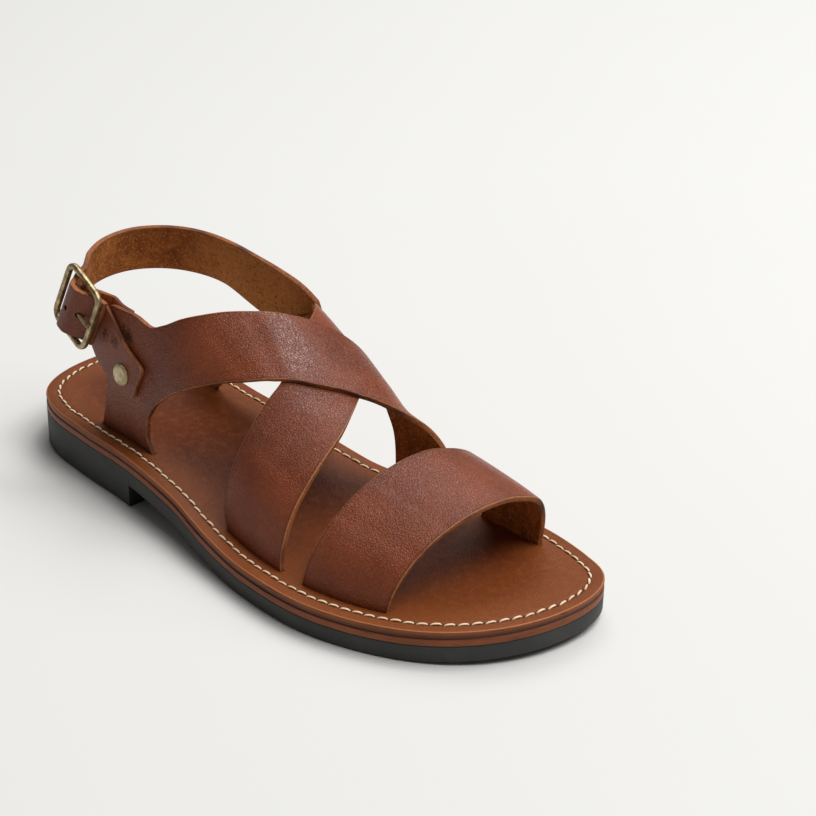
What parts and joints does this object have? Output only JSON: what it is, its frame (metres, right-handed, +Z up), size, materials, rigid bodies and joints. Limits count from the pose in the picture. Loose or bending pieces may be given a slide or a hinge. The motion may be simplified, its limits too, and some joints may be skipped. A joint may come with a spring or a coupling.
{
  "type": "leather sandal",
  "caption": "Right-foot leather sandal: crossed instep straps, a wide toe band, a buckled heel strap, a stitched leather footbed and a black rubber sole with a low heel.",
  "frame": {"origin": "on the floor under the middle of the sandal's overall box", "axes": "+X to the toe, +Y to the inner side of the foot, +Z up"},
  "size_m": [0.28, 0.108, 0.09],
  "materials": {
    "rubber": "matt black moulded rubber",
    "edge_leather": "burnished cut edge of brown sole leather",
    "bed_leather": "smooth brown footbed leather with a soft sheen",
    "upper_leather": "waxed reddish brown leather, creased grain outside and suede inside",
    "brass": "antique brass, dulled"
  },
  "bodies": {
    "root": {"outsole": "rubber", "midsole": "edge_leather", "footbed": "bed_leather", "toe_strap": "upper_leather", "instep_straps": "upper_leather", "heel_strap": "upper_leather", "chape": "upper_leather", "buckle_frame": "brass", "buckle_prong": "brass", "rivet_lateral": "brass", "rivet_medial": "brass"}
  },
  "joints": []
}
